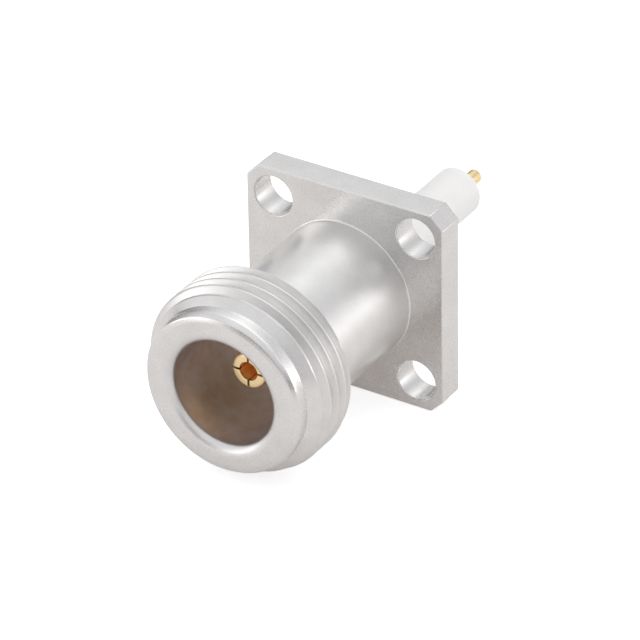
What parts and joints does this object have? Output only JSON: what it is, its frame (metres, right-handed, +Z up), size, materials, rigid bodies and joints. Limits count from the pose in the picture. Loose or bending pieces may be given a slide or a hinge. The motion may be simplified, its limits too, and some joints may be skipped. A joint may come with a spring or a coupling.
{
  "type": "n type connector",
  "caption": "Coaxial panel jack with a threaded mating end, a square bolt-on flange, an extended insulator and a solder pin.",
  "frame": {"origin": "centre of the flange's rear face, which seats on the panel", "axes": "+Y along the jack's axis towards the solder pin, mating end towards -Y; flange sides along X and Z, +Z up"},
  "size_m": [0.0176, 0.0377, 0.0176],
  "materials": {
    "plated_shell": "satin silver-white plating",
    "plated_bush": "satin silver-white plating",
    "insulator": "smooth, slightly translucent white",
    "gold_contact": "bright gold plating"
  },
  "bodies": {
    "root": {"body": "plated_shell", "retaining_bush": "plated_bush", "insulator": "insulator", "centre_contact": "gold_contact"}
  },
  "joints": []
}
